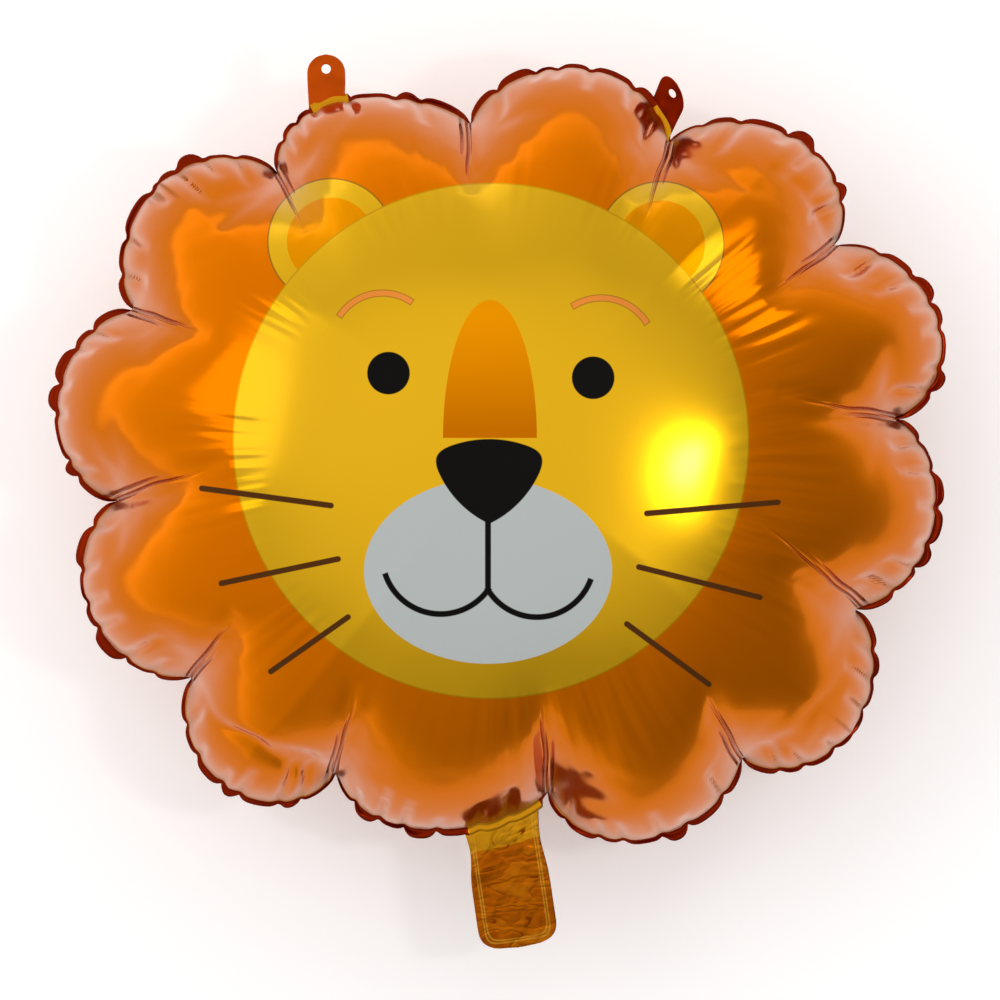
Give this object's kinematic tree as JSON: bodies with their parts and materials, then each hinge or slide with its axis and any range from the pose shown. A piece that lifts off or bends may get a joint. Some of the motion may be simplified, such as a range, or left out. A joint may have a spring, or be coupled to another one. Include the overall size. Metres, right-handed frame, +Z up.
{
  "type": "lion foil balloon",
  "caption": "Inflated foil balloon shaped and printed as a lion's head with a petalled mane, two hanging tabs and a flat filling neck, lying on its back.",
  "frame": {"origin": "on the ground under the middle of the whole outline, tabs and neck included", "axes": "+Z up out of the printed face, +Y towards the top of the lion's head, +X towards the right of the picture"},
  "size_m": [0.5574, 0.5513, 0.2727],
  "materials": {
    "printed_foil": "mirror-bright orange metallised foil with a satin yellow, white, orange, brown and black print",
    "plain_foil": "mirror-bright orange metallised foil without print"
  },
  "bodies": {
    "root": {"front_foil": "printed_foil", "back_foil": "plain_foil"}
  },
  "joints": []
}
